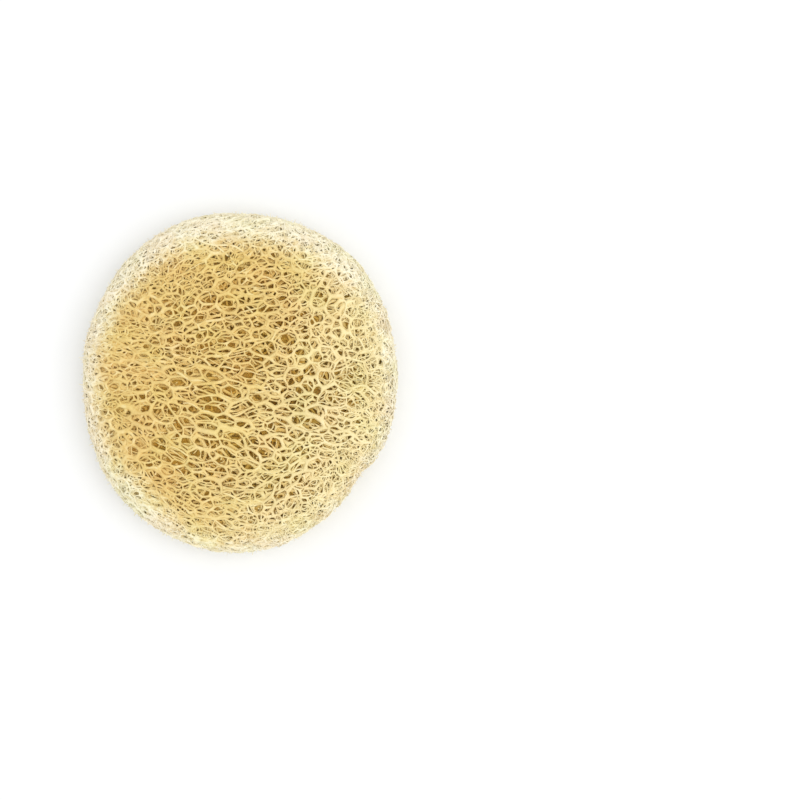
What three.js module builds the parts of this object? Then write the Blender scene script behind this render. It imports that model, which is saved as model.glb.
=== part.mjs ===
// A natural loofah sponge: a round, flattened pad cut from the dried fibre skeleton of a luffa gourd.
// It grew as one piece, so it is one solid: a raised net of fused fibres standing out of a smaller core.
// Millimetres, +Z up. The pad lies on three low knots of its underside, with the origin on the
// surface it rests on, under the middle of the pad.
import * as THREE from "three";
import { ConvexHull } from "three/addons/math/ConvexHull.js";

// The pad
const MEAN_RADIUS = 59.95;
const HALF_THICKNESS = 12.6;
// Waves of the trimmed outline: how many go round, their height, and the angle of one crest
const OUTLINE_WAVES = [
  { count: 2, height: 2.4, crest: 80 },
  { count: 3, height: 0.65, crest: 17 },
  { count: 5, height: 0.3, crest: -18 },
  { count: 6, height: 0.35, crest: -18 },
];
// The shallow dent where the trimming cut ran a little inside the round
const DENT = { angle: -38, depth: 1.8, spread: 7 };
// The section is a superellipse with these two powers: nearly flat faces and a rounded edge
const FACE_POWER = 5;
const EDGE_POWER = 2.2;

// The net
const CELLS = 800;
const CANDIDATES = 14;
const GRAIN_STRETCH = 1.45; // a cell's length along X, the way the fibres run, to its width
const RIM_CELL_SIZE = 0.8; // as a share of the size on the faces
const RIM_START = 0.74; // as a share of the outline's radius
const FIBRE_HALF_WIDTH = { least: 0.45, most: 0.85 };
const FIBRE_UNEVENNESS = 0.4; // how far a knot stands above or below the smooth pad
const LARGEST_INSET = 0.5; // of the way from a knot to the middle of a cell
const PIT_DEPTH = { face: 4.6, rim: 3.2, scatter: 0.8 };

// The three low places of the underside
const FOOT_RADIUS = 31;
const FOOT_ANGLES = [90, 210, 330];
const FOOT_HALF_WIDTH = 1.1;
const FOOT_DROP = 0.35; // below the lowest place that any other fibre could reach

const SEED = 20731;
const SECTION_STEPS = 600;

const { degToRad, lerp, smoothstep } = THREE.MathUtils;

// A seeded generator of numbers from 0 to 1
function seededRandom(seed) {
  let state = seed;
  return () => {
    state = (state + 0x6d2b79f5) >>> 0;
    let mixed = Math.imul(state ^ (state >>> 15), state | 1);
    mixed ^= mixed + Math.imul(mixed ^ (mixed >>> 7), mixed | 61);
    return ((mixed ^ (mixed >>> 14)) >>> 0) / 2 ** 32;
  };
}

// The rim's distance from the middle, at an angle round Z
function outlineRadius(angle) {
  let radius = MEAN_RADIUS;
  for (const { count, height, crest } of OUTLINE_WAVES) {
    radius += height * Math.cos(count * (angle - degToRad(crest)));
  }
  const turned = angle - degToRad(DENT.angle);
  const away = Math.atan2(Math.sin(turned), Math.cos(turned)) / degToRad(DENT.spread);
  return radius - DENT.depth * Math.exp(-(away ** 2));
}

// A point of the section, from its eccentric angle measured from the top: the distance from the
// axis as a share of the outline's radius, and the height as a share of the half thickness
function sectionPoint(turn) {
  const up = Math.cos(turn);
  return {
    out: Math.sin(turn) ** (2 / FACE_POWER),
    height: Math.sign(up) * Math.abs(up) ** (2 / EDGE_POWER),
  };
}

// Eccentric angles from the top to the bottom, each with the share of the surface above it. The
// steps crowd towards both ends, where the section runs fastest.
function areaTable() {
  const table = [];
  let area = 0;
  let before = sectionPoint(0);
  for (let i = 0; i <= SECTION_STEPS; i++) {
    const along = 2 * i / SECTION_STEPS;
    const turn = Math.PI / 2 * (along < 1 ? along ** 3 : 2 - (2 - along) ** 3);
    const now = sectionPoint(turn);
    const run = Math.hypot(
      MEAN_RADIUS * (now.out - before.out),
      HALF_THICKNESS * (now.height - before.height),
    );
    area += run * (now.out + before.out);
    table.push({ turn, share: area });
    before = now;
  }
  for (const row of table) row.share /= area;
  return table;
}

// The eccentric angle that has this share of the surface above it
function turnAt(share, table) {
  let low = 0;
  let high = table.length - 1;
  while (high - low > 1) {
    const middle = Math.floor((low + high) / 2);
    if (table[middle].share < share) low = middle;
    else high = middle;
  }
  const span = table[high].share - table[low].share;
  return lerp(table[low].turn, table[high].turn, (share - table[low].share) / span);
}

// A direction of a unit sphere that has the pad's areas, from an angle and a share of the surface
function sphereDirection(angle, share) {
  const up = 1 - 2 * share;
  const across = Math.sqrt(1 - up * up);
  return new THREE.Vector3(across * Math.cos(angle), across * Math.sin(angle), up);
}

// The point of the smooth pad that a direction of the sphere stands for
function padPoint(direction, table) {
  const angle = Math.atan2(direction.y, direction.x);
  const { out, height } = sectionPoint(turnAt((1 - direction.z) / 2, table));
  const radius = outlineRadius(angle) * out;
  return new THREE.Vector3(radius * Math.cos(angle), radius * Math.sin(angle), HALF_THICKNESS * height);
}

// The outward normal near the smooth pad, from the slope of its superellipse
function padNormal(point) {
  const angle = Math.atan2(point.y, point.x);
  const rim = outlineRadius(angle);
  const out = (Math.hypot(point.x, point.y) / rim) ** (FACE_POWER - 1) * FACE_POWER / rim;
  const up = (Math.abs(point.z) / HALF_THICKNESS) ** (EDGE_POWER - 1) * EDGE_POWER / HALF_THICKNESS;
  return new THREE.Vector3(out * Math.cos(angle), out * Math.sin(angle), Math.sign(point.z) * up).normalize();
}

// How near a point is to the rim: 0 on the faces and 1 on the edge
function nearRim(point) {
  const out = Math.hypot(point.x, point.y) / outlineRadius(Math.atan2(point.y, point.x));
  return smoothstep(out, RIM_START, 1);
}

// The cells' seeds, spread evenly but not regularly. Each is the one of several random candidates
// that is furthest from the seeds before it, with distances along the grain counted short.
function scatterSeeds(table, random) {
  const seeds = [];
  while (seeds.length < CELLS) {
    let best = { gap: -1 };
    for (let i = 0; i < CANDIDATES; i++) {
      const direction = sphereDirection(2 * Math.PI * random(), random());
      const point = padPoint(direction, table);
      const size = lerp(1, RIM_CELL_SIZE, nearRim(point));
      let gap = Infinity;
      for (const other of seeds) {
        const along = (point.x - other.point.x) / GRAIN_STRETCH;
        gap = Math.min(gap, Math.hypot(along, point.y - other.point.y, point.z - other.point.z) / size);
      }
      if (gap > best.gap) best = { direction, point, gap };
    }
    seeds.push(best);
  }
  return seeds;
}

// The seeds joined into triangles, as the faces of the convex hull of their directions. Each has its
// three seeds' numbers, counterclockwise seen from outside.
function joinSeeds(seeds) {
  const hull = new ConvexHull().setFromPoints(seeds.map((seed) => seed.direction));
  const numbers = new Map(seeds.map((seed, number) => [seed.direction, number]));
  return hull.faces.map((face) => [0, 1, 2].map((i) => numbers.get(face.getEdge(i).head().point)));
}

// A knot of fibres in the middle of each triangle of seeds
function growKnots(seeds, triangles, table, random) {
  return triangles.map((cells) => {
    const middle = new THREE.Vector3();
    for (const cell of cells) middle.add(seeds[cell].direction);
    const place = padPoint(middle.normalize(), table);
    place.addScaledVector(padNormal(place), FIBRE_UNEVENNESS * (2 * random() - 1));
    const halfWidth = lerp(FIBRE_HALF_WIDTH.least, FIBRE_HALF_WIDTH.most, random());
    return { cells, place, halfWidth };
  });
}

// A key for the side of a triangle that runs from one seed to the next
const sideKey = (from, to) => from * CELLS + to;

// Each side of each triangle, with the knot whose triangle it bounds
function listSides(knots) {
  const sides = new Map();
  for (const knot of knots) {
    knot.cells.forEach((cell, i) => sides.set(sideKey(cell, knot.cells[(i + 1) % 3]), knot));
  }
  return sides;
}

// The knots round each cell, counterclockwise seen from outside, with the cell's middle and pit
function formCells(knots, sides, random) {
  const first = new Map(knots.flatMap((knot) => knot.cells.map((cell) => [cell, knot])));
  return Array.from({ length: CELLS }, (_, cell) => {
    const ring = [];
    let knot = first.get(cell);
    do {
      ring.push(knot);
      const before = knot.cells[(knot.cells.indexOf(cell) + 2) % 3];
      knot = sides.get(sideKey(cell, before));
    } while (knot !== ring[0]);
    const middle = new THREE.Vector3();
    for (const { place } of ring) middle.addScaledVector(place, 1 / ring.length);
    const depth = lerp(PIT_DEPTH.face, PIT_DEPTH.rim, nearRim(middle)) + PIT_DEPTH.scatter * (2 * random() - 1);
    const pit = middle.clone().addScaledVector(padNormal(middle), -depth);
    return { ring, middle, pit, corners: new Map() };
  });
}

// The distance of a point from the line through two others
function distanceToLine(point, start, end) {
  const along = end.clone().sub(start);
  return point.clone().sub(start).cross(along).length() / along.length();
}

// Lays the net's upper edge: in each cell every knot has a corner, moved from the knot towards the
// cell's middle as far as the fibres there are wide
function layCorners(cells) {
  for (const { ring, middle, corners } of cells) {
    ring.forEach((knot, i) => {
      const next = ring[(i + 1) % ring.length];
      const previous = ring[(i + ring.length - 1) % ring.length];
      const reach = (distanceToLine(middle, knot.place, next.place)
        + distanceToLine(middle, knot.place, previous.place)) / 2;
      const inset = Math.min(knot.halfWidth / reach, LARGEST_INSET);
      corners.set(knot, knot.place.clone().lerp(middle, inset));
    });
  }
}

// Lowers three groups of knots of the underside, each a knot with its three neighbours, to one level
// below everything else, so that the pad lies on three small flat places
function lowerFeet(knots, cells, sides) {
  const level = -(HALF_THICKNESS + FIBRE_UNEVENNESS + FOOT_DROP);
  const feet = [];
  for (const angle of FOOT_ANGLES.map(degToRad)) {
    const target = new THREE.Vector3(FOOT_RADIUS * Math.cos(angle), FOOT_RADIUS * Math.sin(angle), level);
    const centre = knots.reduce((best, knot) => (
      knot.place.distanceTo(target) < best.place.distanceTo(target) ? knot : best));
    const neighbours = centre.cells.map((cell, i) => sides.get(sideKey(centre.cells[(i + 1) % 3], cell)));
    feet.push(centre, ...neighbours);
  }
  for (const knot of feet) {
    knot.place.z = level;
    knot.halfWidth = FOOT_HALF_WIDTH;
  }
  return { feet, level };
}

// Puts the corners of the feet exactly on their level
function flattenFeet(cells, { feet, level }) {
  for (const knot of feet) {
    for (const cell of knot.cells) cells[cell].corners.get(knot).z = level;
  }
}

// The faces: a flat top on each knot and each fibre, and a wall from each fibre down to the pit
function skin(knots, cells, sides) {
  const corners = [];
  const addFace = (...points) => {
    for (const point of points) corners.push(...point);
  };
  for (const knot of knots) {
    addFace(...knot.cells.map((cell) => cells[cell].corners.get(knot)));
    knot.cells.forEach((cell, i) => {
      const otherCell = knot.cells[(i + 1) % 3];
      const otherKnot = sides.get(sideKey(otherCell, cell));
      const here = cells[cell].corners;
      const there = cells[otherCell].corners;
      // The side is met from both of its triangles, and its fibre's top is laid once
      if (cell < otherCell) {
        addFace(here.get(knot), here.get(otherKnot), there.get(otherKnot));
        addFace(here.get(knot), there.get(otherKnot), there.get(knot));
      }
      addFace(here.get(otherKnot), here.get(knot), cells[cell].pit);
    });
  }
  const geometry = new THREE.BufferGeometry();
  geometry.setAttribute("position", new THREE.Float32BufferAttribute(corners, 3));
  return geometry;
}

// The whole sponge, standing on the origin's level with the middle of its box over the origin
function spongeGeometry() {
  const random = seededRandom(SEED);
  const table = areaTable();
  const seeds = scatterSeeds(table, random);
  const knots = growKnots(seeds, joinSeeds(seeds), table, random);
  const sides = listSides(knots);
  const cells = formCells(knots, sides, random);
  const feet = lowerFeet(knots, cells, sides);
  layCorners(cells);
  flattenFeet(cells, feet);
  const geometry = skin(knots, cells, sides);
  geometry.computeBoundingBox();
  const { min, max } = geometry.boundingBox;
  geometry.translate(-(min.x + max.x) / 2, -(min.y + max.y) / 2, -min.z);
  geometry.computeVertexNormals();
  return geometry;
}

const fibre = new THREE.MeshStandardMaterial({ color: "#dcc080", roughness: 0.85, metalness: 0 });
const sponge = new THREE.Mesh(spongeGeometry(), fibre);
sponge.name = "loofah_sponge";

const part = new THREE.Group();
part.add(sponge);

export default part;
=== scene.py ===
"""A natural loofah sponge: a round pad of dried plant fibre, lying flat on a pale floor.

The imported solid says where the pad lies. The pieces made here are the fibres themselves: a coarse
outer net, five finer nets under it, the mat that they lie on, long fibres and thicker veins that
follow the grain, fibres that bridge between the layers, the felt on the rim, and the cut ends that
stand out of it. All of them follow one form: the pad's outline, its rounded section and the three
low places that it lies on.

Sizes are in metres. Random draws come from seeded generators, so every run makes the same sponge.
"""

from __future__ import annotations

import logging
import math
from dataclasses import dataclass, field
from enum import Enum
from typing import Any

import bmesh
import bpy
import numpy as np
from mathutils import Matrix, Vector


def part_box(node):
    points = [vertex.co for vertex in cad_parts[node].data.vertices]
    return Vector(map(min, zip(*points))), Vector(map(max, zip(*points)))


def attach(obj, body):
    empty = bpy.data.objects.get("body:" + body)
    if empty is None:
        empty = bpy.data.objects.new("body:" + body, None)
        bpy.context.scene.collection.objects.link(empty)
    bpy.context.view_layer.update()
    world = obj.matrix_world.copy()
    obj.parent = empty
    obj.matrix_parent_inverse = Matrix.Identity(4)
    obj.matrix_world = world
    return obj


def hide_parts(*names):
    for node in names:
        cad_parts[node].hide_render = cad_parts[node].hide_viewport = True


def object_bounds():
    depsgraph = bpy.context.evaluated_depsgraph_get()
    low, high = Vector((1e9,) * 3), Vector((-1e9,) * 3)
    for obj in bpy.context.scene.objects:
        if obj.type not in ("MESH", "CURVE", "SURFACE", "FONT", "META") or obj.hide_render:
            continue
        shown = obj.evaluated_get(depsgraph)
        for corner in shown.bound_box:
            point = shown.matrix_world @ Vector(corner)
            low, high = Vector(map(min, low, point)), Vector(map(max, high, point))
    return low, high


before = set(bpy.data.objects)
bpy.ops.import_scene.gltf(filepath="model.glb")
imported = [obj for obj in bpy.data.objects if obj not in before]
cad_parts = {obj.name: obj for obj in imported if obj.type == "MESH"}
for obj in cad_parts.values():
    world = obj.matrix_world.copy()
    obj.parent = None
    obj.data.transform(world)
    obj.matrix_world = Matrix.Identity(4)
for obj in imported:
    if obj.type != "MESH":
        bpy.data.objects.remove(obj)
CAD_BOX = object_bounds()

NODE = "loofah_sponge"
BODY = "root"
MM = 0.001
SUNK = "sunk"
TONE = "tone"
RIM_FROM = 0.7

LOG = logging.getLogger("loofah")


def unit(vectors: np.ndarray) -> np.ndarray:
    """Vectors divided by their lengths."""
    return vectors / np.maximum(np.linalg.norm(vectors, axis=-1, keepdims=True), 1e-12)


def dot(first: np.ndarray, second: np.ndarray) -> np.ndarray:
    """Dot products along the last axis, which is kept."""
    return np.sum(first * second, axis=-1, keepdims=True)


def smoothstep(value: np.ndarray, low: float, high: float) -> np.ndarray:
    """A smooth rise from 0 at low to 1 at high: 3t^2 - 2t^3, with t the clipped share of the way."""
    share = np.clip((value - low) / (high - low), 0.0, 1.0)
    return share * share * (3.0 - 2.0 * share)


def mesh_object(name: str, points: np.ndarray, *faces: np.ndarray) -> bpy.types.Object:
    """Makes a smooth-shaded mesh object at the origin.

    Args:
        name: The piece's name.
        points: Vertex places, one row each.
        faces: Arrays of vertex numbers, one row a face. Each array holds faces of one kind.

    Returns:
        The new object, linked to the scene.
    """
    mesh = bpy.data.meshes.new(name)
    mesh.vertices.add(len(points))
    mesh.vertices.foreach_set("co", points.astype(np.float32).ravel())
    sides = np.concatenate([np.full(len(rows), rows.shape[1]) for rows in faces])
    mesh.loops.add(int(sides.sum()))
    mesh.loops.foreach_set("vertex_index", np.concatenate([rows.ravel() for rows in faces]).astype(np.int32))
    mesh.polygons.add(len(sides))
    mesh.polygons.foreach_set("loop_start", (np.cumsum(sides) - sides).astype(np.int32))
    mesh.polygons.foreach_set("use_smooth", np.ones(len(sides), bool))
    mesh.update(calc_edges=True)
    piece = bpy.data.objects.new(name, mesh)
    bpy.context.scene.collection.objects.link(piece)
    return piece


@dataclass(frozen=True)
class Wave:
    """A wave round the outline: how many go round, its height, and the angle of a crest in degrees."""

    count: int
    height: float
    crest: float

    def at(self, angle: np.ndarray) -> np.ndarray:
        """The wave's height at each angle: height times the cosine of count times the turn."""
        return self.height * np.cos(self.count * (angle - math.radians(self.crest)))


@dataclass(frozen=True)
class Waviness:
    """A smooth random field: waves of about one length, with random directions and phases."""

    length: float
    seed: int
    waves: int = 9
    spread: tuple[float, float] = (0.7, 1.5)

    def at(self, points: np.ndarray) -> np.ndarray:
        """The field at each point: the waves' cosines, added and divided by the root of their number.

        Args:
            points: Places, one row each.

        Returns:
            Numbers that are mostly from -1 to 1.
        """
        rng = np.random.default_rng(self.seed)
        ways = unit(rng.normal(size=(self.waves, 3)))
        turns = 2.0 * math.pi / (self.length * rng.uniform(*self.spread, self.waves))
        phases = rng.uniform(0.0, 2.0 * math.pi, self.waves)
        return np.cos(points @ (ways * turns[:, None]).T + phases).sum(axis=-1) / math.sqrt(self.waves)


@dataclass
class PadForm:
    """The smooth pad that all fibres follow.

    A point is given by an angle round Z and a place along the section. The outline's radius is a mean
    radius with a few waves and one dent, and the section is a superellipse: the distance out, as a
    share of the outline, to the power 5, and the height, as a share of the half thickness, to the
    power 2.2, add up to 1. Broad, low lumps run over it all. The fibre is packed closer at the rim
    and towards -X and +Y than in the middle and towards +X and -Y.
    """

    mean_radius: float = 59.95 * MM
    half_width: float = 57.6 * MM
    half_length: float = 62.1 * MM
    half_thickness: float = 12.6 * MM
    foot_level: float = -13.35 * MM
    floor_gap: float = 0.02 * MM
    waves: tuple[Wave, ...] = (
        Wave(2, 2.4 * MM, 80),
        Wave(3, 0.65 * MM, 17),
        Wave(5, 0.3 * MM, -18),
        Wave(6, 0.35 * MM, -18),
    )
    dent_angle: float = -38.0
    dent_depth: float = 1.8 * MM
    dent_spread: float = 7.0
    face_power: float = 5.0
    edge_power: float = 2.2
    foot_radius: float = 31.0 * MM
    foot_angles: tuple[float, ...] = (90.0, 210.0, 330.0)
    foot_spread: float = 5.0 * MM
    foot_drop: float = 0.8 * MM
    lumps: Waviness = Waviness(0.45, 17)
    lump_height: float = 0.18 * MM
    side_looseness: float = 0.22
    far_tightness: float = 0.11
    rim_tightness: float = 0.29
    shoulder_from: float = 0.4
    shoulder_to: float = 0.75
    least_looseness: float = 0.34
    opening_depth: float = 3.2 * MM
    deepest: float = 12.0 * MM
    steps: int = 2400
    outline_steps: int = 1440
    middle: np.ndarray = field(init=False)

    def __post_init__(self) -> None:
        """Tabulates the section and finds where the pad's middle lies in the frame."""
        self._tabulate()
        angle = np.linspace(0.0, 2.0 * math.pi, self.outline_steps, endpoint=False)
        radius = self.outline(angle)
        across = radius * np.cos(angle)
        along = radius * np.sin(angle)
        low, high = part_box(NODE)
        self.middle = np.array([
            (low.x + high.x) / 2 - (across.min() + across.max()) / 2,
            (low.y + high.y) / 2 - (along.min() + along.max()) / 2,
            low.z - self.foot_level,
        ])

    def _tabulate(self) -> None:
        """Tabulates the section from the top pole to the bottom.

        Along it run the eccentric angle's distance out and height, the latitude that makes the map
        to a sphere keep its angles (the sum of each step's length over its radius), and the
        surface's area so far.
        """
        share = np.linspace(0.0, 2.0, self.steps + 1)
        turn = math.pi / 2 * np.where(share < 1.0, share**3, 2.0 - (2.0 - share) ** 3)
        up = np.cos(turn)
        self.out = np.clip(np.sin(turn), 0.0, 1.0) ** (2.0 / self.face_power)
        self.height = np.sign(up) * np.abs(up) ** (2.0 / self.edge_power)
        radius = np.maximum(self.mean_radius * self.out, 1e-6)
        run = np.hypot(np.diff(radius), np.diff(self.half_thickness * self.height))
        grow = np.diff(radius)
        ratio = np.log(radius[1:] / radius[:-1])
        steady = np.abs(grow) < 1e-9
        mean = (radius[1:] + radius[:-1]) / 2
        step = np.where(steady, run / mean, run * ratio / np.where(steady, 1.0, grow))
        latitude = np.concatenate([[0.0], np.cumsum(step)])
        self.latitude = latitude[self.steps // 2] - latitude
        self.area = np.concatenate([[0.0], np.cumsum(run * mean)])

    def outline(self, angle: np.ndarray) -> np.ndarray:
        """The rim's distance from the middle: the mean radius, the waves, less the bell-shaped dent.

        Args:
            angle: Angles round Z, in radians.

        Returns:
            The distance at each angle.
        """
        turned = angle - math.radians(self.dent_angle)
        away = np.arctan2(np.sin(turned), np.cos(turned)) / math.radians(self.dent_spread)
        waves = sum(wave.at(angle) for wave in self.waves)
        return self.mean_radius + waves - self.dent_depth * np.exp(-away * away)

    def scatter(
        self, count: int, rim_density: float, rng: np.random.Generator, rim_from: float = RIM_FROM
    ) -> np.ndarray:
        """Random directions of the sphere, for places spread over the pad.

        Args:
            count: How many.
            rim_density: How many times closer the places are on the edge than on the faces.
            rng: The source of random draws.
            rim_from: Where the places begin to lie closer, as a share of the way out to the edge.

        Returns:
            Unit vectors. The share of places above a level follows the area above it, counted
            rim_density times where the section is on the edge.
        """
        weight = 1.0 + (rim_density - 1.0) * smoothstep(self.out, rim_from, 1.0)
        steps = np.diff(self.area) * (weight[1:] + weight[:-1]) / 2
        share = np.concatenate([[0.0], np.cumsum(steps)]) / steps.sum()
        latitude = np.interp(rng.random(count), share, self.latitude)
        angle = rng.uniform(0.0, 2.0 * math.pi, count)
        across = 1.0 / np.cosh(latitude)
        return np.stack([across * np.cos(angle), across * np.sin(angle), np.tanh(latitude)], axis=-1)

    def place(self, direction: np.ndarray, depth: np.ndarray | float) -> np.ndarray:
        """Points of the pad for directions of the sphere.

        Args:
            direction: Unit vectors. The angle round Z is kept, and the height gives the latitude
                as its inverse hyperbolic tangent.
            depth: How far under the lumpy pad, as the pad shrunk by that much all round. It grows
                towards +X and is less at the rim, by the pad's looseness there.

        Returns:
            Points about the pad's own middle.
        """
        latitude = np.arctanh(np.clip(direction[..., 2], -0.999999, 0.999999))
        ordered = self.latitude[::-1]
        out = np.interp(latitude, ordered, self.out[::-1])
        height = np.interp(latitude, ordered, self.height[::-1])
        angle = np.arctan2(direction[..., 1], direction[..., 0])
        shoulder = smoothstep(out, self.shoulder_from, self.shoulder_to)
        towards_rim = shoulder + smoothstep(out, self.shoulder_to, 1.0)
        sideways = self.side_looseness * direction[..., 0] - self.far_tightness * direction[..., 1]
        loose = np.maximum(1.0 + sideways - self.rim_tightness * towards_rim, self.least_looseness)
        shrunk = depth * loose + self.lump_height * self.lumps.at(direction)
        radius = (self.outline(angle) - shrunk) * out
        rise = (self.half_thickness - shrunk) * height
        points = np.stack([radius * np.cos(angle), radius * np.sin(angle), rise], axis=-1)
        return self._lower_feet(points, height)

    def _lower_feet(self, points: np.ndarray, height: np.ndarray) -> np.ndarray:
        """Lets the underside bulge down, bell-shaped, at the three places that the pad lies on.

        Args:
            points: Places about the pad's middle, which are moved.
            height: How high each is in the section, as a share of the half thickness.

        Returns:
            The same points.
        """
        for angle in np.radians(self.foot_angles):
            foot = self.foot_radius * np.array([math.cos(angle), math.sin(angle)])
            away = np.linalg.norm(points[..., :2] - foot, axis=-1) / self.foot_spread
            points[..., 2] -= np.where(height < 0.0, self.foot_drop * np.exp(-away * away) * -height, 0.0)
        return points

    def direction_of(self, x: float, y: float) -> np.ndarray:
        """The direction of the sphere for a place of the upper face.

        Args:
            x: The place's distance from the middle along X.
            y: The same along Y.

        Returns:
            A unit vector.
        """
        angle = math.atan2(y, x)
        half = self.steps // 2 + 1
        share = math.hypot(x, y) / float(self.outline(np.array(angle)))
        latitude = float(np.interp(share, self.out[:half], self.latitude[:half]))
        across = 1.0 / math.cosh(latitude)
        return np.array([across * math.cos(angle), across * math.sin(angle), math.tanh(latitude)])

    def _slope(self, points: np.ndarray) -> tuple[np.ndarray, np.ndarray]:
        """The superellipse's sum of powers, and how it grows.

        Args:
            points: Places about the pad's middle.

        Returns:
            The sum at each point, 1 on the pad, and the vector in which it grows fastest there.
        """
        angle = np.arctan2(points[..., 1], points[..., 0])
        rim = self.outline(angle)
        out = np.hypot(points[..., 0], points[..., 1]) / rim
        up = np.abs(points[..., 2]) / self.half_thickness
        outward = self.face_power * out ** (self.face_power - 1.0) / rim
        upward = self.edge_power * up ** (self.edge_power - 1.0) / self.half_thickness
        upward *= np.sign(points[..., 2])
        growth = np.stack([outward * np.cos(angle), outward * np.sin(angle), upward], axis=-1)
        return out**self.face_power + up**self.edge_power, growth

    def normal(self, points: np.ndarray) -> np.ndarray:
        """Outward normals near the pad: the way in which the superellipse's sum grows."""
        return unit(self._slope(points)[1])

    def sunk(self, points: np.ndarray) -> np.ndarray:
        """About how far each point lies under the pad: what the sum lacks of 1, over its growth."""
        total, growth = self._slope(points)
        return np.clip((1.0 - total) / np.maximum(np.linalg.norm(growth, axis=-1), 1e-6), 0.0, self.deepest)

    def rim_share(self, points: np.ndarray) -> np.ndarray:
        """How near each point is to the rim: 0 on the faces and 1 on the edge."""
        angle = np.arctan2(points[..., 1], points[..., 0])
        out = np.hypot(points[..., 0], points[..., 1]) / self.outline(angle)
        return smoothstep(out, RIM_FROM, 1.0)

    def settle(self, points: np.ndarray) -> np.ndarray:
        """Moves points from the pad's own middle to the frame, and keeps them off the floor."""
        placed = points.copy()
        placed[..., 2] = np.maximum(placed[..., 2], self.foot_level + self.floor_gap)
        return placed + self.middle


@dataclass(frozen=True)
class Grain:
    """How the fibres run.

    Cells are stretched along X, less so towards -X, +X and +Y. They lean and curve with the flow of
    the face, and are a little longer over the edge than along it at the -X and +X ends.
    """

    stretch: float = 1.7
    end_ease: float = 0.15
    far_ease: float = 0.08
    wrap: float = 1.35
    low_lean: float = -0.14
    high_lean: float = 0.13
    turn_from: float = -0.3
    turn_to: float = 0.9
    curve: float = 0.04

    def lean(self, across: np.ndarray) -> np.ndarray:
        """The slope of the fibres, which changes smoothly from the near side to the far side."""
        rise = self.high_lean - self.low_lean
        return self.low_lean + rise * smoothstep(across, self.turn_from, self.turn_to)

    def stretch_at(self, along: np.ndarray, across: np.ndarray) -> np.ndarray:
        """How many times x is stretched: the stretch, times 1 less an ease x^2 and an ease y."""
        return self.stretch * (1.0 - self.end_ease * along * along - self.far_ease * across)

    def open(self, even: np.ndarray) -> np.ndarray:
        """Stretches an even sphere: x and z times a number each, y raised by lean x + curve x^2.

        Args:
            even: Unit vectors.

        Returns:
            Unit vectors that run with the grain.
        """
        along = self.stretch_at(even[..., 0], even[..., 1]) * even[..., 0]
        across = even[..., 1] + (self.lean(even[..., 1]) + self.curve * along) * along
        return unit(np.stack([along, across, self.wrap * even[..., 2]], axis=-1))

    def close(self, stretched: np.ndarray) -> np.ndarray:
        """Squeezes directions back, the near inverse of open.

        Args:
            stretched: Unit vectors that run with the grain.

        Returns:
            Unit vectors of the even sphere.
        """
        along = stretched[..., 0]
        across = stretched[..., 1] - (self.lean(stretched[..., 1]) + self.curve * along) * along
        up = stretched[..., 2] / self.wrap
        return unit(np.stack([along / self.stretch_at(along, stretched[..., 1]), across, up], axis=-1))


def hull_triangles(directions: np.ndarray) -> np.ndarray:
    """Joins points of a sphere into triangles, as their convex hull.

    Args:
        directions: Unit vectors.

    Returns:
        Three point numbers a row, counterclockwise seen from outside.
    """
    mesh = bpy.data.meshes.new("hull")
    mesh.vertices.add(len(directions))
    mesh.vertices.foreach_set("co", directions.astype(np.float32).ravel())
    work = bmesh.new()
    work.from_mesh(mesh)
    bmesh.ops.convex_hull(work, input=work.verts)
    work.to_mesh(mesh)
    work.free()
    corners = np.empty(len(mesh.loops), np.int32)
    mesh.loops.foreach_get("vertex_index", corners)
    bpy.data.meshes.remove(mesh)
    triangles = corners.reshape(-1, 3)
    first, second, third = (directions[triangles[:, i]] for i in range(3))
    outward = dot(np.cross(second - first, third - first), first)[:, 0] > 0.0
    return np.where(outward[:, None], triangles, triangles[:, ::-1])


@dataclass(frozen=True)
class Opening:
    """A large dark opening of the net, by its place about the pad's middle and its radius."""

    x: float
    y: float
    radius: float


LARGE_OPENINGS = (
    Opening(-17.5 * MM, -10.3 * MM, 1.9 * MM),
    Opening(11.1 * MM, 15.9 * MM, 1.9 * MM),
    Opening(4.3 * MM, 1.5 * MM, 1.8 * MM),
    Opening(-23.6 * MM, 15.1 * MM, 1.5 * MM),
    Opening(-31.4 * MM, -11.1 * MM, 1.3 * MM),
    Opening(28.4 * MM, -11.1 * MM, 1.9 * MM),
    Opening(0.9 * MM, -21.4 * MM, 1.7 * MM),
    Opening(38.7 * MM, 9.6 * MM, 1.4 * MM),
    Opening(8.5 * MM, 29.2 * MM, 1.5 * MM),
)


def keeps_clear(paths: np.ndarray) -> np.ndarray:
    """Finds the paths that keep off the large openings of the upper face.

    Args:
        paths: Points about the pad's middle, shaped (paths, points, 3).

    Returns:
        True for each such path.
    """
    free = np.ones(len(paths), bool)
    for opening in LARGE_OPENINGS:
        away = np.hypot(paths[..., 0] - opening.x, paths[..., 1] - opening.y)
        free &= np.all((away > opening.radius) | (paths[..., 2] < 0.0), axis=1)
    return free


class Section(Enum):
    """Half of a fibre's cross section, from its top to its underside, mirrored for the other half.

    Each row holds how far out a point lies, as a share of the half width, and how high, as a share
    of the half thickness.
    """

    SIX_SIDED = ((0.5, 0.95), (1.0, 0.0), (0.5, -0.95))
    FOUR_SIDED = ((0.8, 0.8), (0.8, -0.8))


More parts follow.
